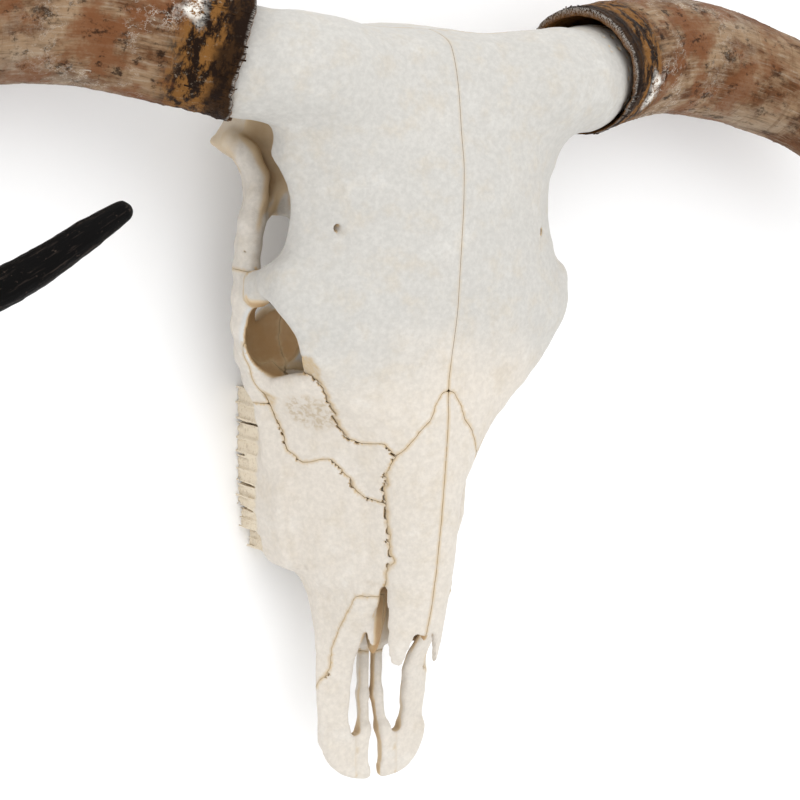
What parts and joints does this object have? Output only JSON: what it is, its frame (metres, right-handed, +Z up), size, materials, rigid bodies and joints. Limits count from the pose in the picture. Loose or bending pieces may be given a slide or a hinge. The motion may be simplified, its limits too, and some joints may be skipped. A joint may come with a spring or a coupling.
{
  "type": "longhorn skull",
  "caption": "Life-size longhorn cattle skull without its lower jaw, with weathered bone and long horn sheaths that curl forwards.",
  "frame": {"origin": "centre of the skull's bounding box in plan, on the floor it rests on", "axes": "+X towards the animal's left, along the spread of the horns; +Y from the muzzle towards the poll; +Z up"},
  "size_m": [0.9684, 0.5886, 0.2268],
  "materials": {
    "bone": "dry, chalky bone",
    "face_bone": "dry, chalky bone, a little warmer",
    "horn": "weathered keratin, rough and flaky",
    "horn_tip": "dark keratin, low sheen"
  },
  "bodies": {
    "root": {"braincase": "bone", "frontal_left": "bone", "frontal_right": "bone", "nasal_left": "bone", "nasal_right": "bone", "zygomatic_left": "bone", "zygomatic_right": "bone", "lacrimal_left": "face_bone", "lacrimal_right": "face_bone", "maxilla_left": "face_bone", "maxilla_right": "face_bone", "premaxilla_left": "face_bone", "premaxilla_right": "face_bone", "horn_left_base": "horn", "horn_left_shaft": "horn", "horn_left_bend": "horn", "horn_left_tip": "horn_tip", "horn_right_base": "horn", "horn_right_shaft": "horn", "horn_right_bend": "horn", "horn_right_tip": "horn_tip"}
  },
  "joints": []
}
